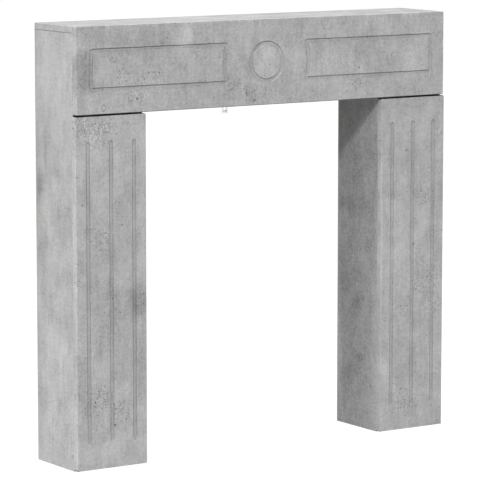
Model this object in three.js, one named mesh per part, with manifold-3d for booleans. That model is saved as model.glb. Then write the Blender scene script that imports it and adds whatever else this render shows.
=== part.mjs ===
// A mantelpiece for a fireplace, made of flat boards: two box-shaped legs, closed at the back
// by thin panels, carry a hollow beam across the hearth. The fronts are routed boards set over
// the carcass.
// Millimetres, +Z up. The origin is on the floor, in the middle of the width and the depth.
// The front faces -Y, and the wall is at +Y.
import * as THREE from 'three';
import { mergeVertices } from 'three/addons/utils/BufferGeometryUtils.js';
import Module from 'manifold-3d';

const wasm = await Module();
wasm.setup();

// Whole piece
const overallWidth = 1030;
const overallDepth = 180;
const overallHeight = 1010;

// Boards
const boardThickness = 15; // top, sides and back rail
const frontThickness = 16; // frieze and leg fronts
const legBackThickness = 3;
const legWidth = 185;
const friezeHeight = 199;
const friezeEndInset = 3; // each end of the frieze stops this far inside the outer sides
const frontGap = 3; // dark joint between the frieze and the leg fronts
const legFrontLift = 2; // the leg fronts hang just clear of the floor
const cornerRadius = 3.5; // corners of the front boards, seen from the front
const edgeRoundover = 2; // rounded arris round the face of the front boards

// Routed grooves, all cut with one tool
const grooveWidth = 10;
const grooveDepth = 2.5;
const grooveSoftness = 2; // rounding at the foot of a groove's walls

// Flutes in the leg fronts
const fluteCount = 3;
const fluteSideMargin = 32; // middle of an outer flute to the board's edge
const fluteFootMargin = 61;
const fluteHeadMargin = 57;

// Sunk frames and roundel in the frieze
const frameEdgeMargin = 51; // outside of a frame to the frieze's top and bottom edges
const frameEndMargin = 34; // outside of a frame to the end of the frieze
const frameCorner = 5; // corner radius along the middle of the groove
const frameCoreCorner = 0.3; // least corner radius of the field left inside a frame
const roundelRadius = 48.5; // outside of the ring groove
const roundelMargin = 64; // ring groove to the hollowed ends of the frames

// Slotted bracket that ties the mantelpiece to the wall
const bracketWidth = 16;
const bracketThickness = 2;
const bracketDrop = 34.5; // how far it hangs below the back rail
const bracketGrip = 28; // how far it runs up the back rail
const bracketCorner = 2.5;
const slotWidth = 7;
const slotLength = 24;
const slotMargin = 6.5; // slot to the lower end of the bracket

// Countersunk screws that fix the bracket to the back rail
const screwLength = 13;
const screwShankRadius = 1.75;
const screwHeadRadius = 3.4;
const screwTipLength = 3;
const screwEdgeMargin = 8; // lower screw to the rail's lower edge
const screwSpacing = 12;
const screwClearance = 0.3; // all round a screw, in the bracket and in the rail

// Fineness of the curves
const cornerSteps = 2;
const roundoverSteps = 3;
const grooveSteps = 3;
const fluteEndSteps = 5;
const frameSteps = 5;
const roundelSteps = 28;
const screwSides = 16;
const mergeDistance = 1e-4;

// Places worked out from the sizes
const carcassFrontY = -overallDepth / 2 + frontThickness;
const wallY = overallDepth / 2;
const carcassDepth = wallY - carcassFrontY;
const sideHeight = overallHeight - boardThickness;
const openingWidth = overallWidth - 2 * legWidth;
const friezeWidth = overallWidth - 2 * friezeEndInset;
const friezeFootZ = overallHeight - friezeHeight;
const legFrontHeight = friezeFootZ - frontGap - legFrontLift;
const legCentreX = (overallWidth - legWidth) / 2;
const railRearY = wallY - bracketThickness;
const lowerScrewZ = friezeFootZ + screwEdgeMargin;
const screwHeights = [lowerScrewZ, lowerScrewZ + screwSpacing];

// Concrete-look foil on the boards
function foilMaterial() {
  return new THREE.MeshStandardMaterial({ color: 0xb1b1af, roughness: 0.55, metalness: 0 });
}

// Bright zinc on the bracket and its screws
function zincMaterial() {
  return new THREE.MeshStandardMaterial({ color: 0xd8d9d7, roughness: 0.4, metalness: 0.7 });
}

// A closed geometry as a solid that can be cut
function solidOf(geometry) {
  const bare = geometry.clone();
  bare.deleteAttribute('normal');
  bare.deleteAttribute('uv');
  const merged = mergeVertices(bare, mergeDistance);
  return new wasm.Manifold(new wasm.Mesh({
    numProp: 3,
    vertProperties: merged.attributes.position.array,
    triVerts: new Uint32Array(merged.index.array),
  }));
}

// A solid as a geometry again
function geometryOf(solid) {
  const { vertProperties, triVerts } = solid.getMesh();
  const geometry = new THREE.BufferGeometry();
  geometry.setAttribute('position', new THREE.BufferAttribute(vertProperties, 3));
  geometry.setIndex(new THREE.BufferAttribute(triVerts, 1));
  geometry.computeVertexNormals();
  return geometry;
}

function cutAll(blank, cutters) {
  return cutters.reduce((solid, cutter) => solid.subtract(cutter), blank);
}

function namedMesh(name, geometry, material) {
  const mesh = new THREE.Mesh(geometry, material);
  mesh.name = name;
  return mesh;
}

// Flat work is drawn lying down, with X across, Y up the board and Z out of its face,
// and stands up here with its face towards -Y.
function standUp(mesh, x, rearY, footZ) {
  mesh.rotation.x = Math.PI / 2;
  mesh.position.set(x, rearY, footZ);
  return mesh;
}

// A plain board, placed by the middle of its width and depth and by its lower face
function plainBoard(name, size, x, y, footZ) {
  const geometry = new THREE.BoxGeometry(size.x, size.y, size.z);
  const mesh = namedMesh(name, geometry, foilMaterial());
  mesh.position.set(x, y, footZ + size.z / 2);
  return mesh;
}

// Outline of a board, centred across and standing on y = 0
function roundedOutline(width, height, radius) {
  const x = width / 2 - radius;
  const top = height - radius;
  const outline = new THREE.Shape();
  outline.absarc(x, radius, radius, -Math.PI / 2, 0, false);
  outline.absarc(x, top, radius, 0, Math.PI / 2, false);
  outline.absarc(-x, top, radius, Math.PI / 2, Math.PI, false);
  outline.absarc(-x, radius, radius, Math.PI, 1.5 * Math.PI, false);
  outline.closePath();
  return outline;
}

// A front board before routing: rear face at z = 0, rounded arris round its face
function frontBlank(width, height) {
  const swollen = new THREE.ExtrudeGeometry(roundedOutline(width, height, cornerRadius), {
    depth: frontThickness - edgeRoundover,
    bevelThickness: edgeRoundover,
    bevelSize: edgeRoundover,
    bevelOffset: -edgeRoundover,
    bevelSegments: roundoverSteps,
    curveSegments: cornerSteps,
  });
  const keep = new THREE.BoxGeometry(2 * width, 2 * height, frontThickness);
  keep.translate(0, height / 2, frontThickness / 2);
  return solidOf(swollen).intersect(solidOf(keep));
}

// The tool's path through a front board, with rounded feet to the walls of the groove
function grooveCutter(outline, steps) {
  const softness = Math.min(grooveSoftness, grooveDepth, grooveWidth / 2);
  const geometry = new THREE.ExtrudeGeometry(outline, {
    depth: grooveDepth,
    bevelThickness: softness,
    bevelSize: softness,
    bevelOffset: -softness,
    bevelSegments: grooveSteps,
    curveSegments: steps,
  });
  geometry.translate(0, 0, frontThickness - grooveDepth + softness);
  return geometry;
}

// A straight slot with round ends
function slotOutline(x, foot, head, width, PathType) {
  const radius = width / 2;
  const outline = new PathType();
  outline.absarc(x, head - radius, radius, 0, Math.PI, false);
  outline.absarc(x, foot + radius, radius, Math.PI, 2 * Math.PI, false);
  outline.closePath();
  return outline;
}

// Leg front: evenly spaced flutes, the same on both legs
function legFrontGeometry() {
  const firstX = -legWidth / 2 + fluteSideMargin;
  const spacing = (legWidth - 2 * fluteSideMargin) / (fluteCount - 1);
  const head = legFrontHeight - fluteHeadMargin;
  const cutters = [];
  for (let i = 0; i < fluteCount; i += 1) {
    const outline = slotOutline(firstX + i * spacing, fluteFootMargin, head, grooveWidth, THREE.Shape);
    cutters.push(solidOf(grooveCutter(outline, fluteEndSteps)));
  }
  return geometryOf(cutAll(frontBlank(legWidth, legFrontHeight), cutters));
}

// Outline of the right-hand frame about the roundel's centre, moved outwards by `spread` from the
// middle of its groove. Its inner end is hollowed along an arc round the roundel.
function frameOutline(spread, PathType) {
  const halfHeight = (friezeHeight - grooveWidth) / 2 - frameEdgeMargin + spread;
  const farX = (friezeWidth - grooveWidth) / 2 - frameEndMargin + spread;
  const corner = Math.max(frameCorner + spread, frameCoreCorner);
  const hollow = roundelRadius + roundelMargin + grooveWidth / 2 - spread;
  const earY = halfHeight - corner;
  const earX = Math.sqrt((hollow + corner) ** 2 - earY ** 2);
  const earAngle = Math.atan2(earY, earX);
  const outline = new PathType();
  outline.absarc(farX - corner, -earY, corner, -Math.PI / 2, 0, false);
  outline.absarc(farX - corner, earY, corner, 0, Math.PI / 2, false);
  outline.absarc(earX, earY, corner, Math.PI / 2, Math.PI + earAngle, false);
  outline.absarc(0, 0, hollow, earAngle, -earAngle, true);
  outline.absarc(earX, -earY, corner, Math.PI - earAngle, 1.5 * Math.PI, false);
  outline.closePath();
  return outline;
}

function frameCutter(turn) {
  const outline = frameOutline(grooveWidth / 2, THREE.Shape);
  outline.holes.push(frameOutline(-grooveWidth / 2, THREE.Path));
  return grooveCutter(outline, frameSteps).rotateZ(turn);
}

function roundelCutter() {
  const outline = new THREE.Shape();
  outline.absarc(0, 0, roundelRadius, 0, 2 * Math.PI, false);
  const core = new THREE.Path();
  core.absarc(0, 0, roundelRadius - grooveWidth, 0, 2 * Math.PI, false);
  outline.holes.push(core);
  return grooveCutter(outline, roundelSteps);
}

// Frieze: a roundel in the middle, between two sunk frames
function friezeGeometry() {
  const cutters = [roundelCutter(), frameCutter(0), frameCutter(Math.PI)];
  const raised = cutters.map((cutter) => solidOf(cutter.translate(0, friezeHeight / 2, 0)));
  return geometryOf(cutAll(frontBlank(friezeWidth, friezeHeight), raised));
}

// A countersunk screw along +Z with its head's flat at z = 0, grown by `spread` all round
function screwGeometry(spread) {
  const shank = screwShankRadius + spread;
  const head = screwHeadRadius + spread;
  const profile = [
    new THREE.Vector2(0, -spread),
    new THREE.Vector2(head, -spread),
    new THREE.Vector2(shank, head - shank),
    new THREE.Vector2(shank, screwLength - screwTipLength + spread),
    new THREE.Vector2(0, screwLength + spread),
  ];
  return new THREE.LatheGeometry(profile, screwSides).rotateX(Math.PI / 2);
}

// Bores of the two screws, drawn for a piece that lies `depth` under the screw heads' flats
function screwBores(footZ, depth) {
  return screwHeights.map((z) => solidOf(screwGeometry(screwClearance).translate(0, z - footZ, -depth)));
}

// Slotted bracket, lying with its wall face at z = 0
function bracketGeometry(footZ) {
  const length = bracketDrop + bracketGrip;
  const outline = roundedOutline(bracketWidth, length, bracketCorner);
  outline.holes.push(slotOutline(0, slotMargin, slotMargin + slotLength, slotWidth, THREE.Path));
  const plate = new THREE.ExtrudeGeometry(outline, {
    depth: bracketThickness,
    bevelEnabled: false,
    curveSegments: fluteEndSteps,
  });
  return geometryOf(cutAll(solidOf(plate), screwBores(footZ, 0)));
}

// Back rail between the inner sides, lying with its rear face at z = 0
function railGeometry() {
  const height = sideHeight - friezeFootZ;
  const board = new THREE.BoxGeometry(openingWidth, height, boardThickness);
  board.translate(0, height / 2, boardThickness / 2);
  return geometryOf(cutAll(solidOf(board), screwBores(friezeFootZ, bracketThickness)));
}

// Top board and the sides and backs of the legs
function carcass() {
  const middleY = carcassFrontY + carcassDepth / 2;
  const legBackY = railRearY - legBackThickness / 2;
  const topSize = new THREE.Vector3(overallWidth, carcassDepth, boardThickness);
  const sideSize = new THREE.Vector3(boardThickness, carcassDepth, sideHeight);
  const legBackSize = new THREE.Vector3(legWidth - 2 * boardThickness, legBackThickness, sideHeight);
  const outerX = (overallWidth - boardThickness) / 2;
  const innerX = (openingWidth + boardThickness) / 2;
  return [
    plainBoard('top_board', topSize, 0, middleY, sideHeight),
    plainBoard('left_outer_side', sideSize, -outerX, middleY, 0),
    plainBoard('left_inner_side', sideSize, -innerX, middleY, 0),
    plainBoard('right_inner_side', sideSize, innerX, middleY, 0),
    plainBoard('right_outer_side', sideSize, outerX, middleY, 0),
    plainBoard('left_leg_back', legBackSize, -legCentreX, legBackY, 0),
    plainBoard('right_leg_back', legBackSize, legCentreX, legBackY, 0),
  ];
}

// Routed boards over the front edges of the carcass
function fronts() {
  const legFront = legFrontGeometry();
  const left = namedMesh('left_leg_front', legFront, foilMaterial());
  const right = namedMesh('right_leg_front', legFront.clone(), foilMaterial());
  const frieze = namedMesh('frieze_front', friezeGeometry(), foilMaterial());
  return [
    standUp(left, -legCentreX, carcassFrontY, legFrontLift),
    standUp(right, legCentreX, carcassFrontY, legFrontLift),
    standUp(frieze, 0, carcassFrontY, friezeFootZ),
  ];
}

// Back rail, the bracket on its rear face and the bracket's screws
function wallFixing() {
  const bracketFootZ = friezeFootZ - bracketDrop;
  const rail = namedMesh('back_rail', railGeometry(), foilMaterial());
  const bracket = namedMesh('wall_bracket', bracketGeometry(bracketFootZ), zincMaterial());
  const screwNames = ['lower_bracket_screw', 'upper_bracket_screw'];
  const screws = screwHeights.map((z, i) => {
    const screw = namedMesh(screwNames[i], screwGeometry(0), zincMaterial());
    return standUp(screw, 0, wallY, z);
  });
  return [
    standUp(rail, 0, railRearY, friezeFootZ),
    standUp(bracket, 0, wallY, bracketFootZ),
    ...screws,
  ];
}

const mantelpiece = new THREE.Group();
mantelpiece.add(...carcass(), ...fronts(), ...wallFixing());

export default mantelpiece;
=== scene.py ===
import math

import bmesh
import bpy
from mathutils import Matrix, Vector
from mathutils.geometry import tessellate_polygon


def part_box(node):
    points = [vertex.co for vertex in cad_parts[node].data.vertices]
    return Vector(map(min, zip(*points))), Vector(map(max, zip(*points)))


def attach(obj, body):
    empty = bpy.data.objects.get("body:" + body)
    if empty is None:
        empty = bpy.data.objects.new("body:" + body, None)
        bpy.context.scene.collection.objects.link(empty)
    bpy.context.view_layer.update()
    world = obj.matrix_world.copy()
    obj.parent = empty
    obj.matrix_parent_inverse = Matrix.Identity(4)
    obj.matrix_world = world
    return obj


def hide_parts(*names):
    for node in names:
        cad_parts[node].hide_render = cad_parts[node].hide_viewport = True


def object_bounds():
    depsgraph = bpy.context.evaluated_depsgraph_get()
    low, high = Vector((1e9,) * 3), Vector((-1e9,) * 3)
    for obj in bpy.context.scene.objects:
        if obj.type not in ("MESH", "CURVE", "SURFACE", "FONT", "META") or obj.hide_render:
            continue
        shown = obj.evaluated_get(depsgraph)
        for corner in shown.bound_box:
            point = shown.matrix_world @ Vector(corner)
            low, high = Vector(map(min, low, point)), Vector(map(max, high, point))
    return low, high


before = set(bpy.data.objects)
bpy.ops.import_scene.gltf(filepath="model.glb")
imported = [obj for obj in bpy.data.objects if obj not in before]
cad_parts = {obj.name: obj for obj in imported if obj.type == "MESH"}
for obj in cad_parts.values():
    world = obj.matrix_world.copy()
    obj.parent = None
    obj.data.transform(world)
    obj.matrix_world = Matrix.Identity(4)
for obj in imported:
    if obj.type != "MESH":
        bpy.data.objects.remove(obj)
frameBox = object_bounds()
scene = bpy.context.scene
body = "root"


# A socket that takes part in sums: each sum adds its Math node
class Wire:
    def __init__(self, shader, socket):
        self.shader = shader
        self.socket = socket

    def also(self, output):  # another output of the same node
        return Wire(self.shader, findSocket(self.socket.node.outputs, output))

    def sum(self, operation, first, second):
        return self.shader.number(operation, first, second)

    def __add__(self, other):
        return self.sum("ADD", self, other)

    def __radd__(self, other):
        return self.sum("ADD", other, self)

    def __sub__(self, other):
        return self.sum("SUBTRACT", self, other)

    def __rsub__(self, other):
        return self.sum("SUBTRACT", other, self)

    def __mul__(self, other):
        return self.sum("MULTIPLY", self, other)

    def __rmul__(self, other):
        return self.sum("MULTIPLY", other, self)


# Finds a socket by its identifier or, failing that, by its name
def findSocket(sockets, name):
    for socket in sockets:
        if socket.identifier == name:
            return socket
    return sockets[name]


# The nodes of a material, or of the world, under construction
class Shader:
    def __init__(self, owner):
        self.owner = owner
        owner.use_nodes = True
        self.tree = owner.node_tree
        self.tree.nodes.clear()

    # A node of a kind, with its settings first and then the values or wires of its sockets
    def add(self, kind, settings, values, output=None):
        node = self.tree.nodes.new(kind)
        for name, value in settings.items():
            if name == "stops":
                setStops(node.color_ramp, value)
            else:
                setattr(node, name, value)
        for name, value in values.items():
            socket = findSocket(node.inputs, name)
            if isinstance(value, Wire):
                self.tree.links.new(value.socket, socket)
            else:
                socket.default_value = value
        if not node.outputs:
            return None
        return Wire(self, findSocket(node.outputs, output) if output else node.outputs[0])

    def number(self, operation, first, second):
        return self.add("ShaderNodeMath", {"operation": operation}, {"Value": first, "Value_001": second})

    def vector(self, operation, first, second, output=None):
        values = {"Vector": first, "Vector_001": second}
        return self.add("ShaderNodeVectorMath", {"operation": operation}, values, output)

    def place(self, offset):
        here = self.add("ShaderNodeTexCoord", {}, {}, "Object")
        return self.vector("ADD", here, offset)

    def stretch(self, vector, factors):
        return self.vector("MULTIPLY", vector, factors)

    def noise(self, vector, scale, detail, roughness=0.5, distortion=0.0):
        values = {"Vector": vector, "Scale": scale, "Detail": detail, "Roughness": roughness}
        values["Distortion"] = distortion
        return self.add("ShaderNodeTexNoise", {"noise_dimensions": "3D"}, values)

    # 0 at `low` and 1 at `high`, with soft ends
    def ease(self, value, low, high):
        values = {"Value": value, "From Min": low, "From Max": high}
        return self.add("ShaderNodeMapRange", {"interpolation_type": "SMOOTHSTEP"}, values)

    def mix(self, factor, first, second, blend="MIX"):
        settings = {"data_type": "RGBA", "blend_type": blend}
        values = {"Factor_Float": factor, "A_Color": first, "B_Color": second}
        return self.add("ShaderNodeMix", settings, values, "Result_Color")

    def finish(self, colour, roughness, height, relief, plain):
        bump = self.add("ShaderNodeBump", {}, {"Height": height, "Strength": 1.0, "Distance": relief})
        values = {"Base Color": colour, "Roughness": roughness, "Normal": bump}
        values.update(plain)
        surface = self.add("ShaderNodeBsdfPrincipled", {}, values)
        self.add("ShaderNodeOutputMaterial", {}, {"Surface": surface})
        return self.owner


def setStops(ramp, stops):
    while len(ramp.elements) < len(stops):
        ramp.elements.new(1.0)
    for element, (position, colour) in zip(ramp.elements, stops):
        element.position = position
        element.color = colour


def grey(tone, warmth=0.0):
    return (tone * (1 + warmth), tone, tone * (1 - warmth), 1.0)


# The printed foil. A layer's pulls draw its pattern out along the board and across it. An edge
# says where a place begins to show and where it shows in full.
foil = {
    "layers": [
        {"scale": 6.5, "along": 0.8, "across": 1.0, "detail": 2, "strength": 0.40},  # broad clouds
        {"scale": 30, "along": 0.7, "across": 1.0, "detail": 4, "strength": 0.60},  # mottling
        {"scale": 110, "along": 0.12, "across": 1.0, "detail": 2, "strength": 0.29},  # float streaks
        {"scale": 150, "along": 1.0, "across": 0.2, "detail": 2, "strength": 0.18},  # formwork grain
    ],
    "layerRoughness": 0.55,
    "layerDistortion": 0.3,
    "wander": 0.035,  # how far a cloud's outline strays
    "wanderScale": 22.0,
    "cloudEdge": (1.5, 0.2),  # in half-widths of the cloud
    "crowdScale": 8.0,
    "crowdEdge": (0.60, 0.78),
    "patchScale": 40.0,
    "patchRagged": 1.6,
    "patchEdge": (1.2, 0.3),  # in radii of the patch
    "seam": 0.92,  # painted shade: how dark the arrises beside a seam are
    "arris": 0.03,  # painted highlight: how much lighter the free arrises are
    "arrisEdge": (0.98, 0.8),
    "toplightEdge": (0.0, 0.6),  # painted light from above, on a surface that turns upwards
    "tintScale": 13.0,
    "tintPull": 0.35,
    "rearEdge": 0.0005,
    "rearWarmth": 0.07,
    "roughness": 0.52,
    "roughGrain": 0.12,
    "roughSpots": 0.25,
    "highGrain": 0.3,
    "relief": 0.00012,
    "specular": 0.35,
}
grains = {"scale": 250, "pull": 0.8, "detail": 3, "roughness": 0.62, "strength": 0.75, "crowded": 0.5}

# Spots lie in a share of the cells: `stray` of them anywhere, and `crowded` more in pitted places
pits = {"scale": 260, "radius": 0.46, "crowded": 0.75, "stray": 0.035, "depth": 0.95}
drops = {"scale": 70, "radius": 0.17, "crowded": 0.6, "stray": 0.08, "depth": 0.5}
spot = {"smallest": 0.4, "growth": 0.7, "raggedScale": 2.6, "ragged": 1.1, "edge": 0.45, "faintest": 0.25}
# A mark fades out at its own radius
mark = {"scale": 700.0, "ragged": 0.0012, "size": 0.0012, "edge": (0.0016, 0.0006), "depth": 0.5}


# Foil for one board. `along` is the axis of its streaks. In the plane of the board, `clouds` are
# its paler and darker places as (x, z, wide, tall, strength), `patches` its pitted places as
# (x, z, radius) and `marks` its single dark spots.
def makeFoil(name, look):
    shader = Shader(bpy.data.materials.new(name))
    here = shader.add("ShaderNodeTexCoord", {}, {}, "Object")
    place = shader.place(look["offset"])
    along = look["along"]
    across = [axis for axis in look["plane"] if axis != along][0]

    def pulled(amount, crosswise=1.0):
        factors = [1.0, 1.0, 1.0]
        factors[along] = amount
        factors[across] = crosswise
        return shader.stretch(place, factors)

    shade = 1.0
    for layer in foil["layers"]:
        vector = pulled(layer["along"], layer["across"])
        noise = shader.noise(vector, layer["scale"], layer["detail"], foil["layerRoughness"],
                             foil["layerDistortion"])
        shade = (noise - 0.5) * (layer["strength"] * look["contrast"]) + shade

    if look["clouds"]:
        values = {"Vector": place, "Scale": foil["wanderScale"], "Detail": 3.0}
        drift = shader.add("ShaderNodeTexNoise", {}, values, "Color")
        drift = shader.stretch(shader.vector("SUBTRACT", drift, [0.5] * 3), [foil["wander"]] * 3)
        strayed = shader.vector("ADD", here, drift)
    for x, z, wide, tall, strength in look["clouds"]:
        reach = distanceTo(shader, strayed, (x, z), look["plane"], (wide, tall))
        shade = shader.ease(reach, *foil["cloudEdge"]) * strength + shade

    # Pitted places: some come from the print's own pattern, the others are put where they show
    crowd = shader.ease(shader.noise(place, foil["crowdScale"], 2), *foil["crowdEdge"]) * look["pitting"]
    for x, z, radius in look["patches"]:
        reach = distanceTo(shader, here, (x, z), look["plane"])
        ragged = (shader.noise(place, foil["patchScale"], 2) - 0.5) * radius * foil["patchRagged"]
        begins, full = [radius * share for share in foil["patchEdge"]]
        crowd = shader.ease(reach + ragged, begins, full) * look["crowding"] + crowd
    grain = shader.noise(pulled(grains["pull"]), grains["scale"], grains["detail"], grains["roughness"])
    shade = (grain - 0.5) * (crowd * grains["crowded"] + look["grit"] * grains["strength"]) + shade

    share = crowd * pits["crowded"] + pits["stray"]
    spots = scatter(shader, place, pits["scale"], share, pits["radius"]) * pits["depth"]
    share = crowd * crowd * drops["crowded"] + look["pitting"] * drops["stray"]
    spots = spots + scatter(shader, place, drops["scale"], share, drops["radius"]) * drops["depth"]
    if look["marks"]:
        ragged = shader.noise(place, mark["scale"], 1) * mark["ragged"]
        nearest = 1.0
        for x, z, radius in look["marks"]:
            reach = distanceTo(shader, here, (x, z), look["plane"]) + (mark["size"] - radius)
            nearest = shader.number("MINIMUM", reach, nearest)
        spots = spots + shader.ease(nearest + ragged, *mark["edge"]) * mark["depth"]
    shade = shade - spots * look["depth"]

    # Grooves get painted shade, less where a surface turns upwards, which stands for light from above.
    # Seams get painted shade, and the free arrises get a painted highlight.
    sunk = shader.add("ShaderNodeAttribute", {"attribute_name": "recess"}, {}, "Fac")
    seam = shader.add("ShaderNodeAttribute", {"attribute_name": "seam"}, {}, "Fac")
    facing = shader.add("ShaderNodeTexCoord", {}, {}, "Normal")
    upright = shader.add("ShaderNodeSeparateXYZ", {}, {"Vector": facing}, "Z")
    dustAndToplight = shader.ease(upright, *foil["toplightEdge"]) * look["dustAndToplight"]
    shade = shade * (1 - sunk * (1 - dustAndToplight) * look["groove"]) * (1 - seam * foil["seam"])
    shade = shade + arrisMask(shader) * (1 - sunk) * (1 - seam) * foil["arris"]

    tint = shader.noise(pulled(foil["tintPull"]), foil["tintScale"], 2)
    warm, cool = grey(look["tone"], look["warmth"]), grey(look["tone"], -look["coolness"])
    colour = shader.mix(1.0, shader.mix(tint, warm, cool), shade, "MULTIPLY")
    if look["rearLine"]:
        split = shader.add("ShaderNodeSeparateXYZ", {}, {"Vector": here}, "Y")
        rear = frameBox[1][1] - look["rearLine"]
        behind = shader.ease(split, rear - foil["rearEdge"], rear + foil["rearEdge"])
        colour = shader.mix(behind, colour, grey(look["rearTone"], foil["rearWarmth"]))
    rough = (grain - 0.5) * foil["roughGrain"] + spots * foil["roughSpots"] + foil["roughness"]
    height = grain * foil["highGrain"] - spots
    return shader.finish(colour, rough, height, foil["relief"], {"Specular IOR Level": foil["specular"]})


# Distance in the plane of a board, from `here` to a point of it, in lengths of `unit`
def distanceTo(shader, here, point, plane, unit=(1.0, 1.0)):
    flat = [0.0, 0.0, 0.0]
    mask = [0.0, 0.0, 0.0]
    for axis, value, length in zip(plane, point, unit):
        flat[axis] = value / length
        mask[axis] = 1.0 / length
    return shader.vector("DISTANCE", shader.stretch(here, mask), flat, "Value")


# Ragged spots in a share of the cells of a Voronoi pattern, some deep and some faint
def scatter(shader, place, scale, share, radius):
    values = {"Vector": place, "Scale": scale}
    cells = shader.add("ShaderNodeTexVoronoi", {"feature": "F1"}, values, "Distance")
    split = shader.add("ShaderNodeSeparateColor", {}, {"Color": cells.also("Color")}, "Red")
    chosen = shader.number("LESS_THAN", split, share)
    size = split.also("Green") * (radius * spot["growth"]) + radius * spot["smallest"]
    ragged = (shader.noise(place, scale * spot["raggedScale"], 2) - 0.5) * (radius * spot["ragged"])
    strength = split.also("Blue") * (1 - spot["faintest"]) + spot["faintest"]
    return shader.ease(size + ragged - cells, 0.0, radius * spot["edge"]) * chosen * strength


# 1 where a surface turns away from all three axes, as it does on a rounded arris
def arrisMask(shader):
    normal = shader.add("ShaderNodeTexCoord", {}, {}, "Normal")
    size = shader.add("ShaderNodeVectorMath", {"operation": "ABSOLUTE"}, {"Vector": normal})
    x = shader.add("ShaderNodeSeparateXYZ", {}, {"Vector": size}, "X")
    most = shader.number("MAXIMUM", shader.number("MAXIMUM", x, x.also("Y")), x.also("Z"))
    return shader.ease(most, *foil["arrisEdge"])


# Raw particle board, on the edges that stand against the wall and the floor
chip = {
    "scale": 420,
    "dark": (0.30, 0.20, 0.12, 1),
    "middle": (0.45, 0.33, 0.21, 1),
    "pale": (0.56, 0.43, 0.29, 1),
    "dustAndToplight": (0.50, 0.39, 0.27, 1),
    "dustScale": 90.0,
    "hole": (0.14, 0.09, 0.05, 1),
    "holeScale": 300.0,
    "roughness": 0.85,
    "relief": 0.0003,
}


def makeChip():
    shader = Shader(bpy.data.materials.new("particle_board"))
    place = shader.place((3.1, 1.7, 0.4))
    flakes = shader.add("ShaderNodeTexVoronoi", {}, {"Vector": place, "Scale": chip["scale"]}, "Distance")
    tone = shader.add("ShaderNodeSeparateColor", {}, {"Color": flakes.also("Color")}, "Red")
    stops = [(0.0, chip["dark"]), (0.35, chip["middle"]), (1.0, chip["pale"])]
    colour = shader.add("ShaderNodeValToRGB", {"stops": stops}, {"Fac": tone})
    dustAndToplight = shader.noise(place, chip["dustScale"], 3)
    colour = shader.mix(dustAndToplight * 0.5, colour, chip["dustAndToplight"])
    holes = shader.ease(shader.noise(place, chip["holeScale"], 2), 0.36, 0.30)
    colour = shader.mix(holes * 0.7, colour, chip["hole"])
    rough = tone * 0.1 + chip["roughness"]
    height = tone * 0.4 - holes - flakes * 0.3
    return shader.finish(colour, rough, height, chip["relief"], {"Specular IOR Level": 0.2})


# Plain paper on the hidden faces of the fronts
backing = {"tone": 0.50, "roughness": 0.6, "fibreScale": 240.0, "cloudScale": 9.0, "relief": 0.00005}


def makeBacking():
    shader = Shader(bpy.data.materials.new("backing_paper"))
    place = shader.place((0.3, 2.2, 1.1))
    fibres = shader.noise(shader.stretch(place, (1, 1, 0.2)), backing["fibreScale"], 3)
    clouds = shader.noise(place, backing["cloudScale"], 3)
    shade = (clouds - 0.5) * 0.12 + (fibres - 0.5) * 0.1 + 1.0
    colour = shader.mix(1.0, grey(backing["tone"], 0.02), shade, "MULTIPLY")
    rough = (fibres - 0.5) * 0.1 + backing["roughness"]
    return shader.finish(colour, rough, fibres, backing["relief"], {})


# Bright zinc with the faint flowers of the dip and fine scratches along the strip
zinc = {"tone": 0.88, "roughness": 0.16, "flowerScale": 260.0, "scratchScale": 3000.0, "relief": 0.00003}


def makeZinc():
    shader = Shader(bpy.data.materials.new("bright_zinc"))
    place = shader.place((0.7, 0.1, 0.9))
    values = {"Vector": place, "Scale": zinc["flowerScale"]}
    flowers = shader.add("ShaderNodeTexVoronoi", {}, values, "Color")
    flower = shader.add("ShaderNodeSeparateColor", {}, {"Color": flowers}, "Red")
    scratches = shader.noise(shader.stretch(place, (1, 1, 0.04)), zinc["scratchScale"], 2)
    shade = flower * 0.1 + (scratches - 0.5) * 0.2 + 0.95
    colour = shader.mix(1.0, grey(zinc["tone"]), shade, "MULTIPLY")
    rough = flower * 0.05 + (scratches - 0.5) * 0.1 + zinc["roughness"]
    return shader.finish(colour, rough, scratches, zinc["relief"], {"Metallic": 0.9})


# Outlines are (x, z) points, counter-clockwise. `spread` moves an outline outwards.
def arc(x, z, radius, start, end, steps):
    turn = math.radians(end - start) / steps
    first = math.radians(start)
    angles = [first + turn * k for k in range(steps + 1)]
    return [(x + radius * math.cos(angle), z + radius * math.sin(angle)) for angle in angles]


def roundedOutline(low, high, foot, head, spread, steps=6):
    outline = []
    corners = [(high[0], low[1], -1, 1, -90, foot), (high[0], high[1], -1, -1, 0, head),
               (low[0], high[1], 1, -1, 90, head), (low[0], low[1], 1, 1, 180, foot)]
    for x, z, toX, toZ, start, corner in corners:
        radius = max(corner + spread, 0.0001)  # sharp once the outline lies further in than its radius
        inset = radius - spread
        outline += arc(x + toX * inset, z + toZ * inset, radius, start, start + 90, steps)
    return outline


def slotOutline(x, foot, head, radius, spread, steps=14):
    upper = arc(x, head - radius, radius + spread, 0, 180, steps)
    lower = arc(x, foot + radius, radius + spread, 180, 360, steps)
    return upper + lower


def circleOutline(x, z, radius, steps):
    return arc(x, z, radius, 0, 360 - 360 / steps, steps - 1)


# A cross with its arms along X and Z
def crossOutline(x, z, reach, half):
    a, b = reach, half
    corners = [(a, -b), (a, b), (b, b), (b, a), (-b, a), (-b, b),
               (-a, b), (-a, -b), (-b, -b), (-b, -a), (b, -a), (b, -b)]
    return [(x + dx, z + dz) for dx, dz in corners]


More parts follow.
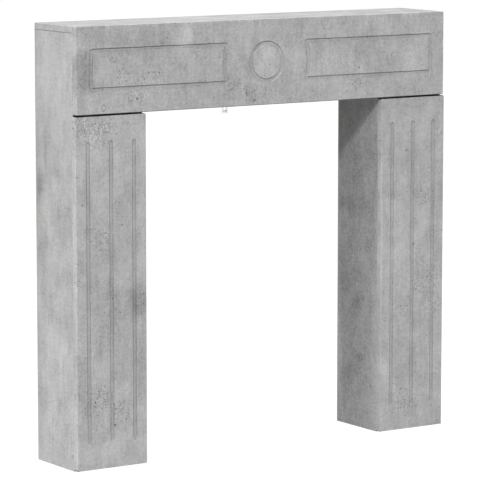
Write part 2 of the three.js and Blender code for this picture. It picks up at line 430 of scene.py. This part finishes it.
# A flat piece, drawn from its face. The edge is a list of (inset, depth), and each feature is
# sunk in the face by rings of (outline, depth, recesses) and ends as "through", "floor" or "island".
def makePlate(outline, edge, features, faceY, backY):
    mesh = bmesh.new()
    layer = mesh.verts.layers.float.new("recess")
    mesh.verts.layers.float.new("seam")
    inward = 1 if backY > faceY else -1

    def ring(points, depth, recesses=None):
        found = []
        for k, (x, z) in enumerate(points):
            vert = mesh.verts.new((x, faceY + inward * depth, z))
            vert[layer] = recesses[k] if recesses else 0.0
            found.append(vert)
        return found

    def skin(rings):
        for first, second in zip(rings, rings[1:]):
            for i, vert in enumerate(first):
                j = (i + 1) % len(first)
                mesh.faces.new((vert, first[j], second[j], second[i]))

    def fill(rings):
        corners = [vert for found in rings for vert in found]
        flat = [[Vector((vert.co.x, vert.co.z, 0)) for vert in found] for found in rings]
        for trio in tessellate_polygon(flat):
            mesh.faces.new([corners[k] for k in trio])

    rim = [ring(outline(-inset), depth) for inset, depth in edge]
    skin(rim)
    faceHoles, backHoles = [], []
    for feature in features:
        rings = [ring(points, depth, recesses) for points, depth, recesses in feature["rings"]]
        skin(rings)
        faceHoles.append(rings[0])
        if feature["end"] == "through":
            backHoles.append(rings[-1])
        else:
            fill([rings[-1]])
    fill([rim[0]] + faceHoles)
    fill([rim[-1]] + backHoles)
    bmesh.ops.recalc_face_normals(mesh, faces=mesh.faces[:])
    return mesh


# A board as sawn, with its arrises just taken off. They get painted shade at the end where a seam is.
sawn = {"easeSteps": 3, "seam": 0.8, "seamReach": 0.6}


def makeBoard(low, high, ease, seam=""):
    mesh = bmesh.new()
    layer = mesh.verts.layers.float.new("seam")
    bmesh.ops.create_cube(mesh, size=1.0)
    for vert in mesh.verts:
        vert.co = [high[axis] if vert.co[axis] > 0 else low[axis] for axis in range(3)]
    bmesh.ops.bevel(mesh, geom=mesh.edges[:], offset=ease, segments=sawn["easeSteps"], profile=0.5,
                    affect="EDGES")
    for vert in mesh.verts:
        into = {"head": high.z - vert.co.z, "foot": vert.co.z - low.z}.get(seam, 1.0)
        vert[layer] = sawn["seam"] if into < ease * sawn["seamReach"] else 0.0
    bmesh.ops.recalc_face_normals(mesh, faces=mesh.faces[:])
    return mesh


# Turns a mesh into a piece that stands for its CAD node. `choose` picks a face's material.
def makePiece(name, mesh, materials, choose):
    for face in mesh.faces:
        face.smooth = True
        face.material_index = choose(face.calc_center_median(), face.normal)
    sharpest = math.radians(50)
    for edge in mesh.edges:
        edge.smooth = len(edge.link_faces) == 2 and edge.calc_face_angle(0) < sharpest
    data = bpy.data.meshes.new(name)
    mesh.to_mesh(data)
    mesh.free()
    piece = bpy.data.objects.new(name + "_finished", data)
    scene.collection.objects.link(piece)
    for material in materials:
        data.materials.append(material)
    normals = piece.modifiers.new("flat faces stay flat", "WEIGHTED_NORMAL")
    normals.keep_sharp = True
    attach(piece, body)
    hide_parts(name)


# Quarter-round from the face of a board to its edge, as (inset, depth)
def roundover(radius, steps):
    angles = [math.pi / 2 * k / steps for k in range(steps + 1)]
    return [(radius * (1 - math.sin(a)), radius * (1 - math.cos(a))) for a in angles]


# A routed groove. A recess says how much painted shade a place in it gets.
groove = {
    "width": 0.0094,  # between the walls, without the lips
    "depth": 0.0025,
    "lip": 0.0003,
    "foot": 0.0018,
    "faceRim": 0.0003,  # painted shade line on the face beside the lip
    "lipSteps": 4,
    "footSteps": 7,
    "lipShade": 1.2,
    "wallShade": 0.55,  # at the top of the hollow foot
    "fluteShade": 0.17,  # how much painted shade a flute's floor gets
    "fluteLine": 0.55,  # and the line along its edges
    "frameShade": 0.17,
    "frameLine": 0.17,
    "line": 0.0012,  # width of that line
    "fluteLean": 0.5,  # painted shade: how much darker the left walls are than the right ones, which face the lamps at the left
    "frameLean": 0.6,
}


# Recess of each point of an outline, with more painted shade on walls that face away from the lamps at the
# left. `outwards` is -1 where the wall stands round an island.
def leaning(points, recess, lean, outwards):
    found = []
    for k in range(len(points)):
        before, after = points[k - 1], points[(k + 1) % len(points)]
        run, rise = after[0] - before[0], after[1] - before[1]
        found.append(recess * (1 - outwards * lean * rise / math.hypot(run, rise)))
    return found


# Wall of a groove as (distance outside its edge, depth, recess): a small lip, then straight
# down, then a hollow foot
def grooveWall(lineShade, floorShade):
    depth, lip, foot = groove["depth"], groove["lip"], groove["foot"]
    wall = [(lip + groove["faceRim"], 0.0, 0.0)]
    wall += [(distance, sunk, groove["lipShade"]) for distance, sunk in roundover(lip, groove["lipSteps"])]
    for k in range(groove["footSteps"] + 1):
        a = math.pi / 2 * k / groove["footSteps"]
        recess = groove["wallShade"] + (lineShade - groove["wallShade"]) * k / groove["footSteps"]
        wall.append((-foot * (1 - math.cos(a)), depth - foot + foot * math.sin(a), recess))
    return wall + [(-foot - groove["line"], depth, floorShade)]


# A groove that runs round, from the function that draws its middle line moved by a spread
def ringGroove(outlineAt):
    half = groove["width"] / 2
    wall = grooveWall(groove["frameLine"], groove["frameShade"])
    rings = []
    for outwards, steps in ((1, wall), (-1, reversed(wall))):
        for distance, depth, recess in steps:
            points = outlineAt(outwards * (half + distance))
            rings.append((points, depth, leaning(points, recess, groove["frameLean"], outwards)))
    return {"rings": rings, "end": "island"}


def flute(x, foot, head):
    half = groove["width"] / 2
    rings = []
    for distance, depth, recess in grooveWall(groove["fluteLine"], groove["fluteShade"]):
        points = slotOutline(x, foot, head, half, distance)
        rings.append((points, depth, leaning(points, recess, groove["fluteLean"], 1)))
    return {"rings": rings, "end": "floor"}


# Edges of every routed front: a rounded arris round the face and a small one at the back
front = {
    "corner": 0.0035,
    "footCorner": 0.0006,  # of the leg fronts, where they stand on the floor
    "roundover": 0.0010,
    "faceRim": 0.0005,  # rim of the face beside the roundover
    "roundoverSteps": 6,
    "backEase": 0.0004,
}


def frontEdge(thickness):
    ease, radius = front["backEase"], front["roundover"]
    arris = [(radius + front["faceRim"], 0)] + roundover(radius, front["roundoverSteps"])
    return arris + [(0, thickness - ease), (ease, thickness)]


# `headSeam` and `footSeam` say how far the painted shade of a seam reaches, in roundovers
def makeFront(name, features, material, headSeam=0.0, footSeam=0.0, footCorner=front["corner"]):
    low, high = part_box(name)

    def outline(spread):
        return roundedOutline((low.x, low.z), (high.x, high.z), footCorner, front["corner"], spread)

    mesh = makePlate(outline, frontEdge(high.y - low.y), features, low.y, high.y)
    layer = mesh.verts.layers.float["seam"]
    shadedAbove = high.z - front["roundover"] * headSeam
    shadedBelow = low.z + front["roundover"] * footSeam
    for vert in mesh.verts:
        if vert.co.z > shadedAbove or vert.co.z < shadedBelow:
            vert[layer] = 1.0
    rear = high.y - front["backEase"] / 2
    makePiece(name, mesh, [material, backingPaper], lambda at, normal: int(at.y > rear))


print("Materials for hidden faces")
chipEdge = makeChip()
backingPaper = makeBacking()
zincPlate = makeZinc()


# Marks along an oval, or along a dash if it is narrow
def ovalMarks(x, z, wide, tall, radius=0.0015):
    turns = [math.radians(30 * k) for k in range(12)]
    return [(x + wide * math.cos(turn), z + tall * math.sin(turn), radius) for turn in turns]


# Leg fronts: three flutes each
legFront = {
    "sideMargin": 0.032,  # middle of an outer flute to the board's edge
    "footMargin": 0.061,
    "headMargin": 0.057,
    "flutes": 3,
    # painted shade on the top arris of a leg front, in the gap under the frieze
    "headSeam": 0.6,
}
frontLook = {
    "along": 2, "plane": (0, 2), "contrast": 1.0, "grit": 1.0, "pitting": 0.5, "crowding": 1.0,
    "depth": 0.88, "groove": 0.5, "dustAndToplight": 0.7, "warmth": 0.0, "coolness": 0.0, "rearLine": 0,
}
legLooks = {
    "left_leg_front": {
        "offset": (0.0, 0.0, 0.0),
        "tone": 0.424,
        "clouds": [
            (-0.430, 0.750, 0.120, 0.110, 0.17), (-0.430, 0.350, 0.100, 0.130, -0.04),
            (-0.430, 0.180, 0.100, 0.120, -0.05), (-0.352, 0.382, 0.022, 0.045, -0.26),
            (-0.400, 0.400, 0.035, 0.018, -0.10), (-0.395, 0.450, 0.020, 0.022, 0.09),
            (-0.506, 0.680, 0.010, 0.070, 0.13), (-0.455, 0.735, 0.030, 0.025, 0.07),
            (-0.430, 0.700, 0.012, 0.018, -0.08), (-0.455, 0.230, 0.030, 0.032, 0.10),
            (-0.450, 0.030, 0.060, 0.025, 0.10), (-0.485, 0.550, 0.013, 0.026, -0.08),
            (-0.440, 0.330, 0.050, 0.070, -0.06), (-0.350, 0.230, 0.016, 0.060, -0.09),
            (-0.425, 0.100, 0.013, 0.022, -0.08), (-0.490, 0.140, 0.016, 0.022, -0.08),
            # the last cloud here is painted light on the board's left edge, which faces the lamps at the
            # left
            (-0.343, 0.300, 0.020, 0.120, -0.06), (-0.5155, 0.620, 0.004, 0.140, 0.09),
        ],
        "patches": [
            (-0.500, 0.792, 0.034), (-0.506, 0.802, 0.026), (-0.494, 0.764, 0.028),
            (-0.470, 0.796, 0.030), (-0.458, 0.772, 0.036), (-0.462, 0.748, 0.026),
            (-0.425, 0.785, 0.026), (-0.462, 0.165, 0.040), (-0.400, 0.130, 0.030),
            (-0.450, 0.530, 0.030),
        ],
        "marks": [
            (-0.443, 0.191, 0.003), (-0.465, 0.190, 0.002), (-0.468, 0.157, 0.003),
            (-0.440, 0.143, 0.002), (-0.480, 0.129, 0.002), (-0.386, 0.111, 0.003),
            (-0.416, 0.100, 0.003), (-0.498, 0.609, 0.003), (-0.485, 0.613, 0.002),
            (-0.427, 0.599, 0.002), (-0.463, 0.493, 0.002), (-0.394, 0.558, 0.003),
            (-0.465, 0.554, 0.002), (-0.455, 0.504, 0.002), (-0.415, 0.500, 0.002),
            (-0.512, 0.672, 0.003), (-0.495, 0.662, 0.002), (-0.429, 0.706, 0.002),
            (-0.459, 0.724, 0.002), (-0.377, 0.790, 0.002), (-0.425, 0.790, 0.002),
            # painted shadow in the gap under the board's outer corner
            (-0.514, 0.001, 0.005),
        ],
    },
    "right_leg_front": {
        "offset": (4.3, 0.0, 1.9),
        "tone": 0.434,
        "clouds": [
            (0.430, 0.740, 0.110, 0.110, 0.06), (0.430, 0.300, 0.100, 0.160, -0.02),
            (0.388, 0.425, 0.020, 0.032, 0.16), (0.380, 0.530, 0.040, 0.020, 0.07),
            (0.358, 0.665, 0.015, 0.022, -0.12), (0.345, 0.750, 0.012, 0.030, -0.09),
            (0.358, 0.575, 0.020, 0.014, -0.11), (0.455, 0.720, 0.016, 0.050, 0.07),
            (0.506, 0.720, 0.009, 0.050, 0.13), (0.462, 0.510, 0.022, 0.040, 0.08),
            (0.490, 0.410, 0.022, 0.026, -0.09), (0.465, 0.370, 0.022, 0.022, -0.06),
            (0.425, 0.260, 0.012, 0.032, -0.08), (0.428, 0.172, 0.012, 0.022, -0.09),
            (0.358, 0.090, 0.017, 0.022, -0.09), (0.345, 0.155, 0.011, 0.022, 0.11),
            # painted light on the board's inner edge, where the lamps at the left reach it
            (0.3295, 0.450, 0.004, 0.300, 0.08),
        ],
        "patches": [
            (0.470, 0.360, 0.040), (0.490, 0.300, 0.030), (0.445, 0.420, 0.024), (0.400, 0.060, 0.040),
            (0.455, 0.570, 0.024), (0.500, 0.720, 0.020),
        ],
        "marks": [
            # the first mark is painted shadow in the gap under the board's inner corner
            (0.331, 0.001, 0.004), (0.404, 0.681, 0.003), (0.427, 0.453, 0.003), (0.468, 0.370, 0.003),
            (0.448, 0.334, 0.003), (0.496, 0.302, 0.003), (0.392, 0.102, 0.003), (0.393, 0.375, 0.002),
            (0.381, 0.359, 0.002), (0.495, 0.428, 0.002),
        ] + ovalMarks(0.3345, 0.708, 0.0055, 0.0002),
    },
}
print("Leg fronts")
for name, look in legLooks.items():
    look = dict(frontLook, **look)
    low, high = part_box(name)
    spacing = (high.x - low.x - 2 * legFront["sideMargin"]) / (legFront["flutes"] - 1)
    flutes = []
    for k in range(legFront["flutes"]):
        x = low.x + legFront["sideMargin"] + k * spacing
        flutes.append(flute(x, low.z + legFront["footMargin"], high.z - legFront["headMargin"]))
    makeFront(name, flutes, makeFoil("foil_" + name, look), headSeam=legFront["headSeam"],
              footCorner=front["footCorner"])

# Frieze: a roundel in the middle, between two sunk frames whose inner ends are hollowed round it
frieze = {
    "edgeMargin": 0.051,  # outside of a frame to the frieze's top and bottom edges
    "endMargin": 0.034,
    "frameCorner": 0.005,  # along the middle of the groove
    "leastCorner": 0.0003,
    "roundelRadius": 0.0485,  # outside of the ring groove
    "roundelMargin": 0.064,
    "cornerSteps": 8,
    "hollowSteps": 20,
    "roundelSteps": 96,
    # painted shade along the frieze's lower arris, in the gap over the leg fronts and under its free span
    "footSeam": 1.1,
}
friezeLook = dict(frontLook, **{
    "offset": (8.1, 0.0, 3.3),
    "tone": 0.445,
    "grit": 1.15,
    "crowding": 0.55,
    "depth": 1.0,
    "clouds": [
        (0.130, 0.900, 0.060, 0.100, 0.05), (0.440, 0.910, 0.070, 0.100, 0.05),
        (0.300, 0.990, 0.200, 0.035, 0.07), (-0.497, 0.905, 0.030, 0.045, -0.24),
        (-0.325, 0.990, 0.022, 0.030, -0.10), (-0.222, 0.985, 0.024, 0.026, 0.17),
        (-0.240, 0.940, 0.026, 0.022, 0.08), (-0.075, 0.950, 0.030, 0.050, 0.09),
        (0.003, 0.906, 0.038, 0.038, 0.17), (0.040, 1.000, 0.026, 0.012, -0.09),
        (-0.015, 0.835, 0.060, 0.026, -0.08), (0.155, 0.950, 0.016, 0.030, -0.08),
        (0.240, 0.965, 0.014, 0.030, -0.09), (0.195, 0.925, 0.022, 0.016, 0.06),
        (0.415, 0.898, 0.030, 0.030, 0.12), (0.330, 0.990, 0.022, 0.016, 0.08),
        (0.260, 0.850, 0.022, 0.013, -0.07), (-0.220, 0.860, 0.026, 0.016, -0.06),
        # painted light on the frieze's left edge, which faces the lamps at the left
        (-0.5155, 0.905, 0.004, 0.090, 0.08),
    ],
    "patches": [
        (-0.320, 0.885, 0.036), (-0.350, 0.850, 0.034), (-0.050, 0.838, 0.026), (0.000, 0.842, 0.030),
        (-0.390, 0.895, 0.028), (0.255, 0.855, 0.024), (-0.085, 0.860, 0.022), (-0.410, 0.935, 0.022),
    ],
    "marks": [
        (-0.460, 0.962, 0.002), (-0.439, 0.940, 0.002), (-0.293, 0.898, 0.003), (-0.312, 0.900, 0.002),
        (-0.332, 0.888, 0.002), (-0.353, 0.842, 0.004), (-0.370, 0.869, 0.002), (-0.076, 0.872, 0.002),
        (-0.034, 0.823, 0.004), (-0.093, 0.829, 0.002), (-0.163, 0.949, 0.002), (0.072, 0.979, 0.002),
        (-0.013, 0.926, 0.002), (0.009, 0.904, 0.003), (0.044, 0.864, 0.002), (-0.035, 0.845, 0.002),
        (0.263, 0.886, 0.003), (0.151, 0.826, 0.002),
    ] + ovalMarks(0.288, 0.960, 0.0002, 0.0050)
             + ovalMarks(-0.441, 0.825, 0.0050, 0.0070, 0.0021),
})


def frameOutline(centreX, centreZ, turn, spread, width, height):
    half = groove["width"] / 2
    top = height / 2 - half - frieze["edgeMargin"] + spread
    far = width / 2 - half - frieze["endMargin"] + spread
    corner = max(frieze["frameCorner"] + spread, frieze["leastCorner"])
    hollow = frieze["roundelRadius"] + frieze["roundelMargin"] + half - spread
    earZ = top - corner
    earX = math.sqrt((hollow + corner) ** 2 - earZ ** 2)
    ear = math.degrees(math.atan2(earZ, earX))
    steps = frieze["cornerSteps"]
    outline = arc(far - corner, -earZ, corner, -90, 0, steps)
    outline += arc(far - corner, earZ, corner, 0, 90, steps)
    outline += arc(earX, earZ, corner, 90, 180 + ear, steps)
    outline += arc(0, 0, hollow, ear, -ear, frieze["hollowSteps"])[1:-1]
    outline += arc(earX, -earZ, corner, 180 - ear, 270, steps)
    return [(centreX + turn * x, centreZ + turn * z) for x, z in outline]


print("Frieze")
low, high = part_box("frieze_front")
centre = (low + high) / 2
width, height = high.x - low.x, high.z - low.z
ringMiddle = frieze["roundelRadius"] - groove["width"] / 2


def roundelOutline(spread):
    return circleOutline(centre.x, centre.z, ringMiddle + spread, frieze["roundelSteps"])


features = [ringGroove(roundelOutline)]
for turn in (1, -1):
    features.append(ringGroove(
        lambda spread, turn=turn: frameOutline(centre.x, centre.z, turn, spread, width, height)))
makeFront("frieze_front", features, makeFoil("foil_frieze", friezeLook), footSeam=frieze["footSeam"])

# Plain boards of the carcass. Their raw sides show the particle board.
carcass = {"ease": 0.0007}
sideLook = {
    "offset": (0.0, 5.0, 0.0), "along": 2, "plane": (1, 2), "raw": "rear foot head", "seam": "head",
    "tone": 0.384, "contrast": 1.1, "grit": 1.1, "pitting": 0.3, "depth": 0.6, "groove": 0.5, "dustAndToplight": 0.0,
    "warmth": 0.012, "coolness": 0.010, "rearLine": 0.004, "rearTone": 0.34,
    "clouds": [], "patches": [], "marks": [(-0.069, 0.034, 0.003), (-0.069, 0.030, 0.003)],
}
boardLooks = {
    "left_outer_side": dict(sideLook, clouds=[
        (0.072, 0.640, 0.022, 0.036, -0.20), (0.020, 0.672, 0.045, 0.014, -0.07),
        (-0.025, 0.570, 0.022, 0.040, -0.08), (-0.040, 0.490, 0.026, 0.026, 0.06),
        (-0.020, 0.270, 0.036, 0.040, 0.08), (-0.060, 0.215, 0.020, 0.030, -0.08),
        (0.075, 0.155, 0.017, 0.026, -0.14), (0.020, 0.770, 0.017, 0.040, -0.06),
        (-0.050, 0.925, 0.026, 0.045, 0.07), (0.060, 0.500, 0.022, 0.060, -0.06),
        (0.000, 0.920, 0.120, 0.150, 0.19), (0.075, 0.420, 0.030, 0.200, -0.05),
        (0.075, 0.130, 0.030, 0.150, -0.05), (0.010, 0.260, 0.060, 0.060, 0.04),
    ]),
    "left_inner_side": dict(sideLook, offset=(1.0, 2.0, 6.0)),
    # this face inside the hearth gets a darker tone than the other sides as painted shade
    "right_inner_side": dict(sideLook, offset=(2.0, 7.0, 3.0), tone=0.372, rearTone=0.46, grit=1.8, clouds=[
        (0.060, 0.540, 0.032, 0.022, -0.20), (-0.005, 0.375, 0.022, 0.026, -0.14),
        (0.000, 0.310, 0.022, 0.022, -0.13), (0.000, 0.430, 0.026, 0.026, 0.10),
        (-0.010, 0.170, 0.032, 0.012, -0.13), (0.035, 0.120, 0.014, 0.050, -0.13),
        # painted light: the pale clouds at the front edge (y -0.068) and the rear edge (y 0.086, 0.088)
        # stand for light from the front and from behind, the pale cloud at the foot (z 0.020) for light off
        # the floor
        (-0.068, 0.220, 0.018, 0.280, 0.18), (0.086, 0.150, 0.018, 0.150, 0.21),
        (0.000, 0.020, 0.110, 0.100, 0.12), (0.020, 0.190, 0.045, 0.160, -0.12),
        (0.088, 0.420, 0.014, 0.240, 0.24), (-0.070, 0.500, 0.018, 0.120, 0.06),
    ]),
    "right_outer_side": dict(sideLook, offset=(3.0, 4.0, 8.0)),
    "top_board": dict(sideLook, raw="rear", seam="foot", along=0, plane=(0, 1), offset=(5.0, 3.0, 0.5),
                      tone=0.43, rearLine=0.0, marks=[]),
    "back_rail": dict(sideLook, raw="foot", along=0, plane=(0, 2), offset=(6.0, 1.0, 2.5),
                      rearLine=0.0, marks=[]),
}


def isRaw(normal, where):
    tests = {"rear": normal.y > 0.95, "foot": normal.z < -0.95, "head": normal.z > 0.95}
    return any(tests[side] for side in where.split())


print("Carcass boards")
for name, look in boardLooks.items():
    low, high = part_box(name)
    mesh = makeBoard(low, high, carcass["ease"], look["seam"])
    makePiece(name, mesh, [makeFoil("foil_" + name, look), chipEdge],
              lambda at, normal: int(isRaw(normal, look["raw"])))

# Thin panels that close the legs at the back
legBack = {"ease": 0.0003}
print("Leg backs")
for name in ("left_leg_back", "right_leg_back"):
    low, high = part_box(name)
    mesh = makeBoard(low, high, legBack["ease"])
    makePiece(name, mesh, [backingPaper], lambda at, normal: 0)

# Slotted strip that ties the mantelpiece to the wall
bracket = {
    "corner": 0.0010,
    "ease": 0.0003,
    "slotWidth": 0.007,
    "slotLength": 0.024,
    "slotMargin": 0.0065,
    "play": 0.0003,  # round a screw
}
screw = {
    "length": 0.013,
    "shankRadius": 0.00175,
    "headRadius": 0.0034,
    "tipLength": 0.003,
    "tipRadius": 0.0002,
    "crossReach": 0.0016,
    "crossHalf": 0.00035,
    "crossDepth": 0.0009,
    "crossFloor": (0.6, 0.7),  # shares of the reach and of the half that are left at its floor
    "sides": 32,
}
screwNames = ["lower_bracket_screw", "upper_bracket_screw"]


def screwCentre(name):
    low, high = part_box(name)
    return (low.x + high.x) / 2, (low.z + high.z) / 2


def screwHole(name, plateDepth):
    x, z = screwCentre(name)
    head = screw["headRadius"] + bracket["play"]
    shank = screw["shankRadius"] + bracket["play"]
    steps = [(head, 0.0), (shank, head - shank), (shank, plateDepth)]
    rings = [(circleOutline(x, z, radius, screw["sides"]), depth, None) for radius, depth in steps]
    return {"rings": rings, "end": "through"}


print("Bracket and screws")
low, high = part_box("wall_bracket")
thickness = high.y - low.y
ease = bracket["ease"]
slotRadius = bracket["slotWidth"] / 2
slotFoot = low.z + bracket["slotMargin"]
slotHead = slotFoot + bracket["slotLength"]
easedEdge = [(ease, 0.0), (0.0, ease), (0.0, thickness - ease), (ease, thickness)]
slot = {"end": "through", "rings": []}
for spread, depth in easedEdge:
    points = slotOutline((low.x + high.x) / 2, slotFoot, slotHead, slotRadius, spread)
    slot["rings"].append((points, depth, None))
corner = bracket["corner"]
mesh = makePlate(lambda spread: roundedOutline((low.x, low.z), (high.x, high.z), corner, corner, spread),
                 easedEdge, [slot] + [screwHole(name, thickness) for name in screwNames], high.y, low.y)
makePiece("wall_bracket", mesh, [zincPlate], lambda at, normal: 0)

for name in screwNames:
    low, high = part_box(name)
    x, z = screwCentre(name)
    head, shank = screw["headRadius"], screw["shankRadius"]
    profile = [(0.0, 0.0), (head - shank, head - shank),
               (head - shank, screw["length"] - screw["tipLength"]),
               (head - screw["tipRadius"], screw["length"])]
    reach, half = screw["crossReach"], screw["crossHalf"]
    reachShare, halfShare = screw["crossFloor"]
    cross = [(crossOutline(x, z, reach, half), 0.0, None),
             (crossOutline(x, z, reach * reachShare, half * halfShare), screw["crossDepth"], None)]
    mesh = makePlate(lambda spread: circleOutline(x, z, head + spread, screw["sides"]), profile,
                     [{"rings": cross, "end": "floor"}], high.y, low.y)
    makePiece(name, mesh, [zincPlate], lambda at, normal: 0)

# Studio: a white floor, one lower floor that only throws light back, and soft lights
studio = {
    "floorSize": 80.0,
    "floorGlow": 1.0,  # keeps the floor white in the picture
    "floorTone": 0.1,
    "bounceSize": 2.6,
    "bounceTone": 0.50,
    "bounceDrop": 0.002,  # how far it lies below the white floor
    "dustScale": 1.5,
    "skyTone": 0.05,
    "aim": (0.0, 0.0, 0.5),  # where the lights point
    "lights": [
        {"name": "key", "place": (-2.45, -7.50, 7.40), "size": (0.9, 0.9), "strength": 0.83},
        {"name": "overhead", "place": (0.0, 0.60, 8.0), "size": (2.5, 2.5), "strength": 0.92},
        {"name": "left", "place": (-6.5, 0.0, 1.20), "size": (0.1, 0.5), "strength": 0.28},
        {"name": "left_edge", "place": (-6.5, -0.22, 1.20), "size": (0.05, 0.5), "strength": 0.12},
        {"name": "left_wide", "place": (-6.45, -0.85, 1.60), "size": (1.3, 1.0), "strength": 0.24},
    ],
}


def makeFloor(name, size, z, tone, glow):
    shader = Shader(bpy.data.materials.new(name))
    place = shader.place((0.0, 0.0, 0.0))
    dustAndToplight = shader.noise(place, studio["dustScale"], 2)
    values = {"Base Color": grey(tone), "Roughness": dustAndToplight * 0.1 + 0.8, "Specular IOR Level": 0.0,
              "Emission Color": (1, 1, 1, 1), "Emission Strength": glow}
    surface = shader.add("ShaderNodeBsdfPrincipled", {}, values)
    shader.add("ShaderNodeOutputMaterial", {}, {"Surface": surface})
    mesh = bmesh.new()
    bmesh.ops.create_grid(mesh, x_segments=4, y_segments=4, size=size / 2)
    data = bpy.data.meshes.new(name)
    mesh.to_mesh(data)
    mesh.free()
    data.materials.append(shader.owner)
    floor = bpy.data.objects.new(name, data)
    floor.location.z = z
    scene.collection.objects.link(floor)
    return floor


print("Studio")
floor = makeFloor("floor", studio["floorSize"], 0.0, studio["floorTone"], studio["floorGlow"])
floor.visible_diffuse = False
floor.visible_shadow = False
bounce = makeFloor("bounce_floor", studio["bounceSize"], -studio["bounceDrop"], studio["bounceTone"], 0.0)
bounce.visible_camera = False
bounce.visible_glossy = False
for light in studio["lights"]:
    data = bpy.data.lights.new(light["name"], "AREA")
    data.shape = "RECTANGLE"
    data.size, data.size_y = light["size"]
    lamp = bpy.data.objects.new(light["name"], data)
    lamp.location = light["place"]
    away = lamp.location - Vector(studio["aim"])
    data.energy = light["strength"] * (math.pi * away.length) ** 2
    lamp.rotation_euler = away.to_track_quat("Z", "Y").to_euler()
    scene.collection.objects.link(lamp)

# Dim where it lights the boards, white where the camera sees it over the floor
sky = Shader(bpy.data.worlds.new("studio"))
seen = sky.add("ShaderNodeLightPath", {}, {}, "Is Camera Ray")
haze = sky.mix(seen, grey(studio["skyTone"]), grey(1.0))
sky.add("ShaderNodeOutputWorld", {}, {"Surface": sky.add("ShaderNodeBackground", {}, {"Color": haze})})
scene.world = sky.owner
scene.view_settings.view_transform = "Standard"

# Camera: a long lens from the front left, a little above the shelf
view = {
    "azimuth": -33.466,
    "elevation": 7.707,
    "distance": 7.2465,
    "aim": (-0.01219, 0.00467, 0.48415),
    "lens": 230.45,
    "sensor": 36.0,
}
print("Camera")
azimuth, elevation = math.radians(view["azimuth"]), math.radians(view["elevation"])
level = math.cos(elevation)
back = Vector((math.sin(azimuth) * level, -math.cos(azimuth) * level, math.sin(elevation)))
lens = bpy.data.cameras.new("camera")
lens.lens = view["lens"]
lens.sensor_width = view["sensor"]
camera = bpy.data.objects.new("camera", lens)
camera.location = Vector(view["aim"]) + back * view["distance"]
camera.rotation_euler = back.to_track_quat("Z", "Y").to_euler()
scene.collection.objects.link(camera)
scene.camera = camera
